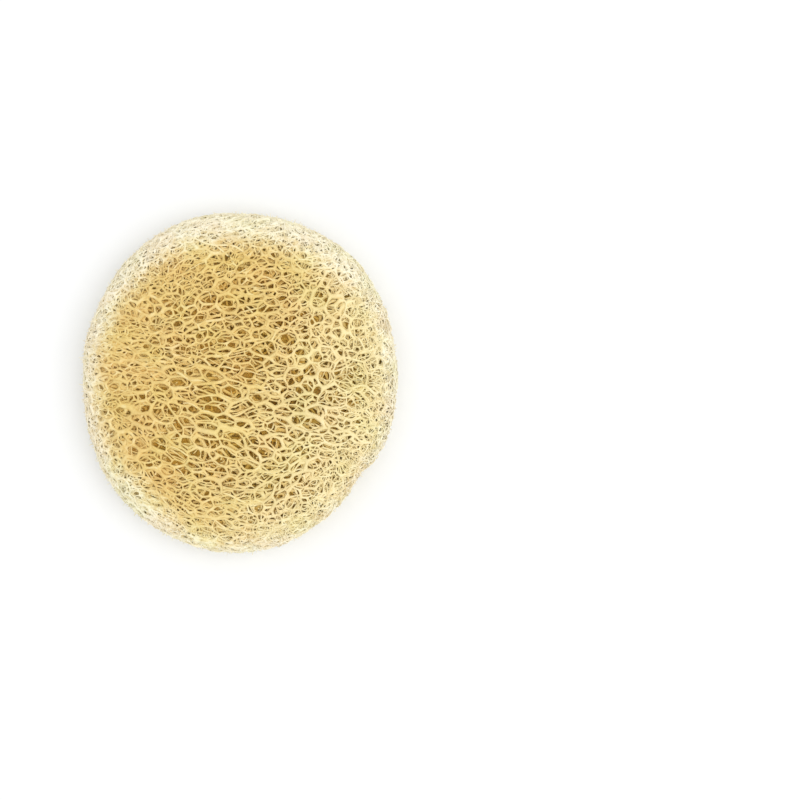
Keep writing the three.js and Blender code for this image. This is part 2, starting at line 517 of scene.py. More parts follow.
@dataclass(frozen=True)
class StrawFinish:
    """Dried plant fibre: straw with honey patches, a painted gold shade in its depth, pale at the rim.

    Colours are linear. The straw and honey tones mix by a broad noise and by each fibre's own tone;
    the honey share also rises towards -X, a painted shade on the side away from the key light. The
    pale tone lies on single fibres, towards the rim, and on the +X side, where it is painted light on
    the side that faces the key light; the white one lies on the rim itself. At the rim the pale and
    white are partly the bleached fibres of the cut edge and partly a painted highlight. Faint green and
    rose patches lie over them. The deeper a fibre lies, the more gold is multiplied into it, but less
    on the rim: painted shade, for the dim gold-coloured light deep between the fibres. Specks and
    single fibres are a shade darker at random, which is painted shade too. Each pair of limits says
    where a tone begins and where it is full.
    """

    name: str
    straw: tuple[float, float, float] = (0.925, 0.77, 0.365)
    honey: tuple[float, float, float] = (0.845, 0.63, 0.235)
    pale: tuple[float, float, float] = (0.945, 0.83, 0.48)
    white: tuple[float, float, float] = (0.995, 0.94, 0.73)
    gold: tuple[float, float, float] = (0.92, 0.75, 0.29)
    green: tuple[float, float, float] = (0.985, 1.0, 0.95)
    rose: tuple[float, float, float] = (1.0, 0.975, 0.975)
    # painted shade: the tint for specks and single fibres darkened at random
    dark: tuple[float, float, float] = (0.84, 0.79, 0.7)
    # honey patches by noise and tone, plus painted shade: more honey towards -X, away from the key light
    honey_and_side_shade_limits: tuple[float, float] = (0.31, 0.52)
    # pale and white towards the rim: partly bleached fibres of the cut edge, partly a painted highlight
    pale_limits: tuple[float, float] = (0.76, 0.96)
    # painted light: the pale tone on the +X side, which faces the key light
    painted_light_side_limits: tuple[float, float] = (0.0, 0.85)
    painted_light_side_share: float = 0.7
    bleached_limits: tuple[float, float] = (0.6, 0.85)
    bleached_share: float = 0.42
    white_limits: tuple[float, float] = (0.85, 0.99)
    green_limits: tuple[float, float] = (0.52, 0.64)
    rose_limits: tuple[float, float] = (0.47, 0.36)
    # painted shade: gold multiplied into fibres by how deep they lie, less on the rim
    painted_depth_shade_limits: tuple[float, float] = (0.6 * MM, 3.6 * MM)
    kept_white: float = 0.3
    # painted shade: where the random darkening of specks and fibres fades out
    unshaded_limits: tuple[float, float] = (0.32, 0.62)
    roughness: float = 0.58
    roughness_swing: float = 0.2
    specular: float = 0.3
    grain_depth: float = 0.08 * MM
    grain_strength: float = 0.6

    def material(self, form: PadForm) -> bpy.types.Material:
        """Builds the finish's node tree.

        Args:
            form: The pad, by whose middle and size the finish is laid.

        Returns:
            The new material.
        """
        material = bpy.data.materials.new(self.name)
        graph = Graph(material)
        place = graph.node("ShaderNodeTexCoord").outputs["Object"]
        single = graph.noise(place, scale=420.0, detail=3.0)
        speck = graph.noise(place, scale=2600.0, detail=2.0)
        relief = {"Distance": self.grain_depth, "Strength": self.grain_strength}
        bump = graph.node("ShaderNodeBump", inputs={"Height": speck.socket, **relief})
        graph.finish({
            "Base Color": self._colour(graph, form, place, single, speck),
            "Roughness": (single * self.roughness_swing + (self.roughness - self.roughness_swing / 2)).socket,
            "Specular IOR Level": self.specular,
            "Normal": bump.outputs["Normal"],
        })
        return material

    def _colour(
        self, graph: Graph, form: PadForm, place: bpy.types.NodeSocket, single: Shade, speck: Shade
    ) -> bpy.types.NodeSocket:
        """Mixes the tones by where a place lies, how deep, its fibre's own tone and the noises.

        Args:
            graph: The material's nodes.
            form: The pad.
            place: The place on the piece.
            single: The noise that sets single fibres apart.
            speck: The finest noise.

        Returns:
            The colour's socket.
        """
        moved = graph.vector("SUBTRACT", place, tuple(form.middle))
        flat = graph.vector("MULTIPLY", moved, (1.0 / form.half_width, 1.0 / form.half_length, 0.0))
        out = graph.measure("LENGTH", flat)
        side = graph.measure("DOT_PRODUCT", moved, (1.0, 0.0, 0.0)) * (1.0 / form.mean_radius)
        far = graph.measure("DOT_PRODUCT", moved, (0.0, 1.0, 0.0)) * (1.0 / form.mean_radius)
        broad = graph.noise(place, scale=28.0, detail=2.0)
        patch = graph.noise(place, scale=75.0, detail=1.0)
        own = graph.attribute(TONE)
        # the -side term is painted shade towards -X; the other terms are honey patches by noise and tone
        honey_and_side_shade = broad * 0.6 + own * 0.2 + single * 0.2 - out * 0.05 - side * 0.18 + far * 0.05
        # towards the rim: partly bleached fibres of the cut edge, partly a painted highlight
        rim_fade_and_glare = out - side * 0.04 + far * 0.04 + (broad - 0.5) * 0.2 + (single - 0.5) * 0.16
        # painted light: paler towards +X and -Y, the side of the key light, broken up by a broad noise
        lit = side - far * 0.4 + (broad - 0.5) * 0.8
        painted_light_side = graph.ramp(lit, *self.painted_light_side_limits) * self.painted_light_side_share
        bleached = graph.ramp(own * 0.7 + single * 0.3, *self.bleached_limits) * self.bleached_share
        rim = graph.ramp(rim_fade_and_glare, *self.white_limits)
        # painted shade: the deeper a place lies, the more gold is multiplied in, as shade between the fibres
        painted_depth_shade = graph.ramp(graph.attribute(SUNK) + (single - 0.5) * MM, *self.painted_depth_shade_limits)
        # painted shade: specks and single fibres darkened at random; where this share is 1 they stay unshaded
        unshaded = graph.ramp(speck * 0.4 + single * 0.35 + own * 0.25, *self.unshaded_limits)
        tone = graph.mix(graph.ramp(honey_and_side_shade, *self.honey_and_side_shade_limits), self.straw, self.honey)
        tone = graph.mix(graph.ramp(rim_fade_and_glare, *self.pale_limits) + painted_light_side + bleached, tone, self.pale)
        tone = graph.mix(rim, tone, self.white)
        tone = graph.tint(graph.ramp(patch, *self.green_limits), tone, self.green)
        tone = graph.tint(graph.ramp(patch, *self.rose_limits), tone, self.rose)
        tone = graph.tint(painted_depth_shade * (1.0 - rim * self.kept_white), tone, self.gold)
        return graph.mix(unshaded, graph.vector("MULTIPLY", tone, self.dark), tone)


class Shade:
    """A number that varies over a surface, from a node's output, with ordinary arithmetic on it."""

    def __init__(self, graph: Graph, socket: bpy.types.NodeSocket) -> None:
        """Wraps one output socket of a graph."""
        self.graph = graph
        self.socket = socket

    def _math(self, operation: str, first: Any, second: Any) -> Shade:
        """Adds a Math node for one operation on two values or sockets."""
        values = {0: getattr(first, "socket", first), 1: getattr(second, "socket", second)}
        made = self.graph.node("ShaderNodeMath", {"operation": operation}, values)
        return Shade(self.graph, made.outputs[0])

    def __add__(self, other: Any) -> Shade:
        """Sum."""
        return self._math("ADD", self, other)

    __radd__ = __add__

    def __mul__(self, other: Any) -> Shade:
        """Product."""
        return self._math("MULTIPLY", self, other)

    __rmul__ = __mul__

    def __sub__(self, other: Any) -> Shade:
        """Difference."""
        return self._math("SUBTRACT", self, other)

    def __rsub__(self, other: Any) -> Shade:
        """Difference the other way round."""
        return self._math("SUBTRACT", other, self)


class Graph:
    """A material's node tree. One method adds any node, and the others are short forms of it."""

    def __init__(self, material: bpy.types.Material) -> None:
        """Empties the material's tree."""
        material.use_nodes = True
        self.tree = material.node_tree
        self.tree.nodes.clear()

    def node(
        self,
        kind: str,
        settings: dict[str, Any] | None = None,
        inputs: dict[str | int, Any] | None = None,
    ) -> bpy.types.Node:
        """Adds a node.

        Args:
            kind: The node's type.
            settings: Its properties, set before its inputs.
            inputs: A value or an output socket for each input, by name or number.

        Returns:
            The new node.
        """
        made = self.tree.nodes.new(kind)
        for name, value in (settings or {}).items():
            setattr(made, name, value)
        for key, value in (inputs or {}).items():
            if isinstance(value, bpy.types.NodeSocket):
                self.tree.links.new(value, made.inputs[key])
            else:
                made.inputs[key].default_value = value
        return made

    def finish(self, inputs: dict[str, Any]) -> None:
        """Adds the surface's shader, with a value or a socket for each input, and the output."""
        surface = self.node("ShaderNodeBsdfPrincipled", inputs=inputs)
        self.node("ShaderNodeOutputMaterial", inputs={"Surface": surface.outputs["BSDF"]})

    def attribute(self, name: str) -> Shade:
        """A number that the mesh carries at each vertex."""
        return Shade(self, self.node("ShaderNodeAttribute", {"attribute_name": name}).outputs["Fac"])

    def vector(self, operation: str, first: Any, second: Any) -> bpy.types.NodeSocket:
        """The Vector output of a Vector Math node on two vectors or sockets."""
        made = self.node("ShaderNodeVectorMath", {"operation": operation}, {0: first, 1: second})
        return made.outputs["Vector"]

    def measure(self, operation: str, *vectors: Any) -> Shade:
        """The Value output of a Vector Math node: a length or a dot product."""
        made = self.node("ShaderNodeVectorMath", {"operation": operation}, dict(enumerate(vectors)))
        return Shade(self, made.outputs["Value"])

    def noise(self, place: bpy.types.NodeSocket, scale: float, detail: float) -> Shade:
        """A noise of the place, about 0.3 to 0.7."""
        made = self.node("ShaderNodeTexNoise", inputs={"Vector": place, "Scale": scale, "Detail": detail})
        return Shade(self, made.outputs[0])

    def ramp(self, value: Shade, low: float, high: float) -> Shade:
        """A smooth rise from 0 at low to 1 at high."""
        settings = {"interpolation_type": "SMOOTHSTEP"}
        inputs = {"Value": value.socket, "From Min": low, "From Max": high}
        return Shade(self, self.node("ShaderNodeMapRange", settings, inputs).outputs["Result"])

    def mix(self, share: Shade, first: Any, second: Any) -> bpy.types.NodeSocket:
        """A colour between two: the first where share is 0, the second where it is 1."""
        inputs = {0: share.socket}
        for key, value in ((6, first), (7, second)):
            inputs[key] = value if isinstance(value, bpy.types.NodeSocket) else (*value, 1.0)
        return self.node("ShaderNodeMix", {"data_type": "RGBA"}, inputs).outputs[2]

    def tint(self, share: Shade, colour: bpy.types.NodeSocket, filtered: Any) -> bpy.types.NodeSocket:
        """A colour with as much of a filter's colour multiplied into it as the share says."""
        return self.mix(share, colour, self.vector("MULTIPLY", colour, filtered))


@dataclass
class FibreNet:
    """A net of fused fibres that wraps the whole pad at one depth.

    Its cells are the dual of a triangulation: each triangle of seeds has a knot at its middle, and a
    fibre joins the knots on both sides of each triangle side. A fibre's edge towards a cell runs from
    the corner at one knot, over a few stations, to the corner at the other. At a corner the edges of
    two fibres meet on the bisector between them. At a station in between, the fibre bows aside, dips
    a little and is slimmer.
    """

    name: str
    form: PadForm
    finish: StrawFinish
    cells: int
    width: float
    depth: float
    seed: int
    grain: Grain = Grain()
    section: Section = Section.FOUR_SIDED
    mids: int = 0
    waviness: float = 0.3 * MM
    wave_length: float = 9.0 * MM
    knot_scatter: float = 0.15 * MM
    rim_density: float = 2.0
    rim_from: float = 0.45
    evenness: float = 1.0
    opening_share: float = 0.8
    waist: float = 0.74
    bow: float = 0.045
    dip: float = 0.12
    flatness: float = 0.85
    corner_limit: float = 0.44
    least_sine: float = 0.42
    knot_height: float = 1.3
    cross_width: float = 0.72
    grain_width: float = 0.45
    vein_gap: float = 7.0 * MM
    vein_squeeze: float = 0.22
    vein_limits: tuple[float, float] = (0.5, 1.4)
    vein_swell: float = 0.45
    cell_limits: tuple[float, float] = (0.45, 1.25)
    cell_power: float = 0.8
    unevenness: float = 0.34

    def build(self) -> bpy.types.Object:
        """Makes the net's object and dresses it."""
        rng = np.random.default_rng(self.seed)
        triangles, knots, normals = self._lay_knots(rng)
        twins = self._pair_sides(triangles)
        middle, across, rise = self._lay_edges(triangles, knots, normals, twins, rng)
        ring = np.array(self.section.value)
        points = middle[:, :, None] + across[:, :, None] * ring[:, :1] + rise[:, :, None] * ring[:, 1:]
        placed = self.form.settle(points.reshape(-1, 3))
        piece = mesh_object(self.name, placed, *self._faces(twins, len(ring)))
        dress(piece, self.finish, self.form, self._tones(twins, len(ring), rng))
        return piece

    def _tones(self, twins: np.ndarray, rows: int, rng: np.random.Generator) -> np.ndarray:
        """Draws a tone for each fibre. A knot has the mean of its three fibres.

        Args:
            twins: The opposite of each side.
            rows: How many points the half section has.
            rng: The source of random draws.

        Returns:
            Each vertex's tone, 0 to 1.
        """
        own = rng.random(len(twins))[np.minimum(np.arange(len(twins)), twins)]
        knot = own.reshape(-1, 3).mean(axis=1).repeat(3)
        stations = np.concatenate([knot[:, None], own[:, None].repeat(self.mids, axis=1)], axis=1)
        return stations.ravel().repeat(rows)

    def _lay_knots(self, rng: np.random.Generator) -> tuple[np.ndarray, np.ndarray, np.ndarray]:
        """Spreads the cells' seeds and puts a knot at the middle of each triangle of them.

        Before that, each seed moves towards the middle of its own cell, by the net's evenness.

        Args:
            rng: The source of random draws.

        Returns:
            The triangles, and the knots' places and normals, one of each a triangle.
        """
        seeds = self.grain.close(self.form.scatter(self.cells, self.rim_density, rng, self.rim_from))
        triangles = hull_triangles(seeds)
        middles = unit(seeds[triangles].mean(axis=1))
        gathered = np.zeros_like(seeds)
        np.add.at(gathered, triangles, middles[:, None, :])
        seeds = unit(seeds + self.evenness * (unit(gathered) - seeds))
        if self.depth < self.form.opening_depth:
            seeds = self._leave_openings(seeds)
        triangles = hull_triangles(seeds)
        middles = self.grain.open(unit(seeds[triangles].mean(axis=1)))
        surface = self.form.place(middles, 0.0)
        uneven = self.waviness * Waviness(self.wave_length, self.seed + 1).at(surface)
        depth = self.depth + uneven + self.knot_scatter * rng.normal(size=len(middles))
        knots = self.form.place(middles, depth)
        return triangles, knots, self.form.normal(knots)

    def _leave_openings(self, seeds: np.ndarray) -> np.ndarray:
        """Clears the seeds round each large opening and puts one seed in its middle.

        The seeds within the opening's radius and half a fibre, divided by a share, are left out.

        Args:
            seeds: Unit vectors of the even sphere.

        Returns:
            The seeds that are left, and the new ones.
        """
        places = self.form.place(self.grain.open(seeds), 0.0)
        kept = np.ones(len(seeds), bool)
        centres = []
        for opening in LARGE_OPENINGS:
            away = np.hypot(places[:, 0] - opening.x, places[:, 1] - opening.y)
            reach = (opening.radius + self.width / 2) / self.opening_share
            kept &= (away > reach) | (places[:, 2] < 0.0)
            centres.append(self.form.direction_of(opening.x, opening.y))
        return np.concatenate([seeds[kept], self.grain.close(np.array(centres))])

    def _pair_sides(self, triangles: np.ndarray) -> np.ndarray:
        """Finds the opposite of each triangle side.

        Args:
            triangles: Seed numbers.

        Returns:
            The number of the side that runs the other way, for each side 3t + i of the triangles.
        """
        after = np.roll(triangles, -1, axis=1)
        size = triangles.max() + 1
        forward = (triangles.astype(np.int64) * size + after).ravel()
        backward = (after.astype(np.int64) * size + triangles).ravel()
        order = np.argsort(forward)
        return order[np.searchsorted(forward[order], backward)]

    def _lay_edges(
        self,
        triangles: np.ndarray,
        knots: np.ndarray,
        normals: np.ndarray,
        twins: np.ndarray,
        rng: np.random.Generator,
    ) -> tuple[np.ndarray, np.ndarray, np.ndarray]:
        """Lays each fibre's edge towards one cell: the corner at its first knot, then the stations.

        A corner lies from its knot along the bisector of the two fibres there, by the half width over
        the sine of half the corner's angle. A station lies beside the fibre's line, which arches
        between the knots by 4t(1 - t) times a random bow aside and a random dip. Both reach no
        further than a share of the way to the cell's middle.

        Args:
            triangles: Seed numbers.
            knots: Knot places.
            normals: Knot normals.
            twins: The opposite of each side.
            rng: The source of random draws.

        Returns:
            For each side and station: the point on the fibre's line, the vector from it out to the
            edge, and the vector up to the fibre's top.
        """
        sides = np.arange(triangles.size)
        home = sides // 3
        before = home * 3 + (sides + 2) % 3
        pair = np.minimum(sides, twins)
        fibre = knots[twins // 3] - knots[home]
        length = np.linalg.norm(fibre, axis=-1)
        ways = unit(fibre)
        half = self._half_widths(knots, home, twins, ways, length, rng)
        cell = self._cell_middles(triangles, knots)

        upright = normals[home]
        left_in = unit(np.cross(ways, upright))
        bisector = unit(left_in + unit(np.cross(upright, ways[before])))
        sine = np.clip(dot(bisector, left_in)[:, 0], self.least_sine, 1.0)
        near = (half + half[before]) / 2
        room = np.linalg.norm(cell - knots[home], axis=-1) * self.corner_limit
        corner = bisector * np.minimum(near / sine, room)[:, None]
        height = np.minimum(near.reshape(-1, 3).mean(axis=1).repeat(3), self.knot_height * room)

        share = np.arange(1, self.mids + 1) / (self.mids + 1)
        arch = 4.0 * share * (1.0 - share)
        between = unit(upright + normals[twins // 3])
        aside = unit(np.cross(ways[pair], between))
        bow = self.bow * length * rng.normal(size=len(sides))[pair]
        dip = self.dip * length * rng.random(len(sides))[pair]
        arched = aside * bow[:, None] - between * dip[:, None]
        middles = knots[home][:, None] + fibre[:, None] * share[:, None] + arched[:, None] * arch[:, None]
        slim = half[:, None] * (1.0 - (1.0 - self.waist) * arch)
        free = np.linalg.norm(cell[:, None] - middles, axis=-1) * self.corner_limit
        across = unit(np.cross(ways, between))[:, None] * np.minimum(slim, free)[..., None]

        middle = np.concatenate([knots[home][:, None], middles], axis=1)
        outward = np.concatenate([corner[:, None], across], axis=1)
        first = upright * height[:, None] * self.flatness
        rise = np.concatenate([first[:, None], between[:, None] * slim[..., None] * self.flatness], axis=1)
        return middle, outward, rise

    def _cell_middles(self, triangles: np.ndarray, knots: np.ndarray) -> np.ndarray:
        """Finds the middle of each cell, as the mean of its knots.

        Args:
            triangles: Seed numbers.
            knots: Knot places.

        Returns:
            For each triangle side, the middle of the cell that it belongs to.
        """
        flat = triangles.ravel()
        sums = np.zeros((flat.max() + 1, 3))
        np.add.at(sums, flat, knots.repeat(3, axis=0))
        return (sums / np.maximum(np.bincount(flat), 1)[:, None])[flat]

    def _half_widths(
        self,
        knots: np.ndarray,
        home: np.ndarray,
        twins: np.ndarray,
        ways: np.ndarray,
        length: np.ndarray,
        rng: np.random.Generator,
    ) -> np.ndarray:
        """Draws the fibres' half widths.

        One is half the net's width, more along the grain, more in long bands that read as veins,
        less where the cells are small, times a random share of each fibre's own.

        Args:
            knots: Knot places.
            home: Each side's first knot.
            twins: The opposite of each side.
            ways: Each side's direction.
            length: Each side's length.
            rng: The source of random draws.

        Returns:
            A half width for each side, alike for a side and its opposite.
        """
        middles = (knots[home] + knots[twins // 3]) / 2
        along = self.cross_width + self.grain_width * np.abs(ways[:, 0])
        squeezed = middles * np.array([self.vein_squeeze, 1.0, 1.0])
        banded = Waviness(self.vein_gap, self.seed + 2).at(squeezed)
        veins = 1.0 + self.vein_swell * smoothstep(banded, *self.vein_limits)
        near = np.bincount(home, weights=length) / 3.0
        local = (near[home] + near[twins // 3]) / 2 / near.mean()
        small = np.clip(local, *self.cell_limits) ** self.cell_power
        own = np.exp(self.unevenness * rng.normal(size=len(twins)))[np.minimum(np.arange(len(twins)), twins)]
        return self.width / 2 * along * veins * small * own

    def _faces(self, twins: np.ndarray, rows: int) -> tuple[np.ndarray, ...]:
        """Faces over each knot and each fibre, under them, and down the walls of each cell.

        Args:
            twins: The opposite of each side.
            rows: How many points the half section has.

        Returns:
            Vertex numbers: triangles on the knots, then quads on the fibres and walls.
        """
        sides = np.arange(len(twins))
        after = sides // 3 * 3 + (sides + 1) % 3
        stations = self.mids + 1
        own = (sides[:, None] * stations + np.arange(stations)) * rows
        edge = np.concatenate([own, (after[twins] * stations * rows)[:, None]], axis=1)
        other = edge[twins][:, ::-1]
        once = sides < twins
        start, end = edge[:, :-1], edge[:, 1:]
        over = np.stack([start, end, other[:, 1:], other[:, :-1]], axis=-1)[once].reshape(-1, 4)
        knot = edge[:, 0].reshape(-1, 3)
        down = np.arange(rows - 1)[:, None, None]
        wall = np.stack([end + down, start + down, start + down + 1, end + down + 1], axis=-1).reshape(-1, 4)
        under = rows - 1
        return knot, knot[:, ::-1] + under, over, over[:, ::-1] + under, wall


@dataclass
class Mat:
    """The dense felted fibre that the nets lie on, as one closed and uneven skin."""

    form: PadForm
    finish: StrawFinish
    name: str = "mat"
    count: int = 6000
    depth: float = 4.3 * MM
    waviness: float = 0.5 * MM
    wave_length: float = 8.0 * MM
    roughness: float = 0.25 * MM
    rim_density: float = 1.5
    seed: int = 707

    def build(self) -> bpy.types.Object:
        """Makes the skin: scattered points joined into triangles, each at a depth of its own."""
        rng = np.random.default_rng(self.seed)
        directions = self.form.scatter(self.count, self.rim_density, rng)
        surface = self.form.place(directions, 0.0)
        waves = self.waviness * Waviness(self.wave_length, self.seed).at(surface)
        depth = self.depth + waves + self.roughness * rng.normal(size=self.count)
        points = self.form.settle(self.form.place(directions, depth))
        piece = mesh_object(self.name, points, hull_triangles(directions))
        dress(piece, self.finish, self.form, rng.random(self.count))
        return piece


def dress(piece: bpy.types.Object, finish: StrawFinish, form: PadForm, tones: np.ndarray) -> None:
    """Gives a piece its finish and its body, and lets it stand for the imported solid.

    Args:
        piece: The mesh object.
        finish: Its finish, whose material is made once.
        form: The pad, which gives how deep each vertex lies.
        tones: Each vertex's tone, 0 to 1.
    """
    mesh = piece.data
    places = np.empty(3 * len(mesh.vertices), np.float32)
    mesh.vertices.foreach_get("co", places)
    depth = form.sunk(places.reshape(-1, 3) - form.middle)
    for name, values in ((SUNK, depth), (TONE, tones)):
        mesh.attributes.new(name, "FLOAT", "POINT").data.foreach_set("value", values.astype(np.float32))
    mesh.materials.append(bpy.data.materials.get(finish.name) or finish.material(form))
    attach(piece, BODY)
    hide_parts(NODE)


@dataclass
class Fibres:
    """Many loose fibres of one kind. Each is a thin round tube along a path of its own."""

    form: PadForm
    finish: StrawFinish
    name: str
    count: int
    radius: float
    radius_limits: tuple[float, float]
    steps: int
    sides: int
    seed: int

    def lay(self, rng: np.random.Generator) -> tuple[np.ndarray, np.ndarray]:
        """Each kind lays its own paths, shaped (fibres, points, 3), and the radius at each point."""
        raise NotImplementedError

    def draw(self, rng: np.random.Generator, limits: tuple[float, float]) -> np.ndarray:
        """A random number between two limits for each fibre, as a column."""
        return rng.uniform(*limits, (self.count, 1))

    def build(self) -> bpy.types.Object:
        """Carries a round section along all the paths at once, and dresses the result.

        At each point of a path the section is a regular polygon across the path's direction, turned
        at random, and a tip closes each end. A path that would cross a large opening is left out.
        """
        rng = np.random.default_rng(self.seed)
        paths, radii = self.lay(rng)
        free = keeps_clear(paths)
        paths, radii = paths[free], radii[free]
        count = len(paths)
        ahead = unit(np.gradient(paths, axis=1))
        aside = unit(rng.normal(size=(count, 1, 3)))
        first = unit(aside - dot(aside, ahead) * ahead)
        second = np.cross(ahead, first)
        turn = 2.0 * math.pi * np.arange(self.sides) / self.sides
        around = first[:, :, None] * np.cos(turn)[:, None] + second[:, :, None] * np.sin(turn)[:, None]
        skin = (paths[:, :, None] + around * radii[:, :, None, None]).reshape(count, -1, 3)
        start = paths[:, :1] - ahead[:, :1] * radii[:, :1, None]
        end = paths[:, -1:] + ahead[:, -1:] * radii[:, -1:, None]
        points = np.concatenate([skin, start, end], axis=1)
        placed = self.form.settle(points.reshape(-1, 3))
        piece = mesh_object(self.name, placed, *self._faces(count))
        dress(piece, self.finish, self.form, rng.random(count).repeat(points.shape[1]))
        return piece

    def _faces(self, count: int) -> tuple[np.ndarray, np.ndarray]:
        """Faces round each fibre and over its tips.

        Args:
            count: How many fibres there are.

        Returns:
            Vertex numbers: quads of the walls, then triangles of the tips.
        """
        size = self.steps * self.sides
        column = np.arange(self.sides)
        following = (column + 1) % self.sides
        low = (np.arange(self.steps - 1) * self.sides)[:, None]
        high = low + self.sides
        wall = np.stack([low + column, low + following, high + following, high + column], axis=-1)
        last = size - self.sides
        first_tip = np.stack([np.full(self.sides, size), following, column], axis=-1)
        last_tip = np.stack([np.full(self.sides, size + 1), last + column, last + following], axis=-1)
        base = (np.arange(count) * (size + 2))[:, None, None]
        quads = (wall.reshape(-1, 4) + base).reshape(-1, 4)
        return quads, (np.concatenate([first_tip, last_tip]) + base).reshape(-1, 3)


@dataclass
class GrainFibres(Fibres):
    """Long fibres that follow the grain over the net, dipping under it and coming up again.

    They sink under the net at their ends, and at the -X end of the pad, where they would gather.
    """

    name: str = "grain_fibres"
    count: int = 980
    radius: float = 0.29 * MM
    radius_limits: tuple[float, float] = (0.6, 1.35)
    steps: int = 12
    sides: int = 5
    seed: int = 411
    length: float = 18.0 * MM
    length_limits: tuple[float, float] = (0.4, 1.3)
    lean_spread: float = 0.5
    wander: float = 0.08
    wander_turns: tuple[float, float] = (3.0, 9.0)
    wander_start: tuple[float, float] = (0.0, 6.0)
    depth: float = 0.45 * MM
    least_depth: float = 0.25 * MM
    sway: float = 0.5 * MM
    sway_length: float = 7.0 * MM
    end_power: int = 4
    end_depth: float = 1.2 * MM
    end_taper: float = 0.35
    gathering_limits: tuple[float, float] = (0.85, 0.99)
    gathering_depth: float = 1.6 * MM
    grain: Grain = Grain()

    def lay(self, rng: np.random.Generator) -> tuple[np.ndarray, np.ndarray]:
        """Lays runs in the even sphere along x, leaning and wandering, and opens them with the grain.

        Args:
            rng: The source of random draws.

        Returns:
            The paths, and the radius at each of their points.
        """
        start = self.grain.close(self.form.scatter(self.count, 1.0, rng))
        share = np.linspace(-0.5, 0.5, self.steps)
        reach = self.length / self.form.mean_radius / self.grain.stretch * self.draw(rng, self.length_limits)
        lean = rng.normal(0.0, self.lean_spread, (self.count, 1))
        ahead = unit(np.cross(start, np.cross(np.array([1.0, 0.0, 0.0]), start)))
        aside = np.cross(start, ahead)
        turned = share * self.draw(rng, self.wander_turns) + self.draw(rng, self.wander_start)
        sideways = reach * (lean * share + self.wander * np.sin(turned))
        path = start[:, None] + ahead[:, None] * (reach * share)[..., None]
        path = path + aside[:, None] * sideways[..., None]
        directions = self.grain.open(unit(path))
        surface = self.form.place(directions, 0.0)
        depth = self.depth + self.sway * Waviness(self.sway_length, self.seed).at(surface)
        ends = np.abs(2.0 * share) ** self.end_power
        gathering = smoothstep(-directions[..., 0], *self.gathering_limits)
        sunk = ends * self.end_depth + gathering * self.gathering_depth
        paths = self.form.place(directions, np.maximum(depth, self.least_depth) + sunk)
        return paths, self.radius * self.draw(rng, self.radius_limits) * (1.0 - self.end_taper * ends)


@dataclass
class BridgeFibres(Fibres):
    """Short slanting fibres that tie the outer net to the nets under it."""

    name: str = "bridge_fibres"
    count: int = 1800
    radius: float = 0.26 * MM
    radius_limits: tuple[float, float] = (0.7, 1.3)
    steps: int = 4
    sides: int = 5
    seed: int = 523
    rim_density: float = 1.4
    top_depth: float = 0.6 * MM
    drop: float = 5.0 * MM
    drop_limits: tuple[float, float] = (0.35, 1.0)
    slant: float = 3.2 * MM

    def lay(self, rng: np.random.Generator) -> tuple[np.ndarray, np.ndarray]:
        """Lays lines, each from near the surface to a deeper place a little aside.

        Args:
            rng: The source of random draws.

        Returns:
            The paths, and the radius at each of their points.
        """
        top = self.form.scatter(self.count, self.rim_density, rng)
        offset = rng.normal(0.0, self.slant / self.form.mean_radius, (self.count, 3))
        share = np.linspace(0.0, 1.0, self.steps)[:, None]
        directions = unit(top[:, None] + offset[:, None] * share)
        depth = self.top_depth + self.draw(rng, self.drop_limits) * self.drop * share[:, 0]
        paths = self.form.place(directions, depth)
        return paths, self.radius * self.draw(rng, self.radius_limits) * np.ones(self.steps)


@dataclass
class RimFelt(Fibres):
    """Short fine fibres that lie matted on the net, thick round the rim and thicker towards +X."""

    name: str = "rim_felt"
    count: int = 5400
    radius: float = 0.22 * MM
    radius_limits: tuple[float, float] = (0.7, 1.4)
    steps: int = 4
    sides: int = 4
    seed: int = 719
    length: float = 5.0 * MM
    length_limits: tuple[float, float] = (0.5, 1.3)
    bend_spread: float = 0.5
    rim_density: float = 16.0
    bare_share: float = 0.7
    luck: float = 0.3
    depth: float = 0.5 * MM
    depth_limits: tuple[float, float] = (0.2, 1.8)
    end_depth: float = 0.9 * MM
    lift: float = 1.5 * MM
    lift_power: int = 4

    def lay(self, rng: np.random.Generator) -> tuple[np.ndarray, np.ndarray]:
        """Lays curves that follow the pad for a few millimetres, some of them lifted off the rim.

        They start at half of the places drawn: those that come first by luck and the pull to +X.

        Args:
            rng: The source of random draws.

        Returns:
            The paths, and the radius at each of their points.
        """
        spread = self.form.scatter(2 * self.count, self.rim_density, rng)
        pulled = self.bare_share + (1.0 - self.bare_share) * spread[:, 0]
        wanted = pulled + self.luck * rng.random(len(spread))
        start = spread[np.argsort(-wanted - rng.random(len(spread)))[: self.count]]
        ahead = unit(np.cross(start, rng.normal(size=start.shape)))
        aside = np.cross(start, ahead)
        share = np.linspace(-0.5, 0.5, self.steps)[:, None]
        reach = (self.length / self.form.mean_radius * self.draw(rng, self.length_limits))[:, None]
        bend = rng.normal(0.0, self.bend_spread, (self.count, 1, 1))
        path = start[:, None] + reach * (share * ahead[:, None] + bend * share**2 * aside[:, None])
        depth = self.depth * self.draw(rng, self.depth_limits) + self.end_depth * (2.0 * share[:, 0]) ** 2
        edge = self.form.rim_share(self.form.place(unit(path), 0.0)) ** self.lift_power
        depth = depth - self.lift * rng.random((self.count, 1)) ** 2 * edge
        paths = self.form.place(unit(path), depth)
        return paths, self.radius * self.draw(rng, self.radius_limits) * np.ones(self.steps)


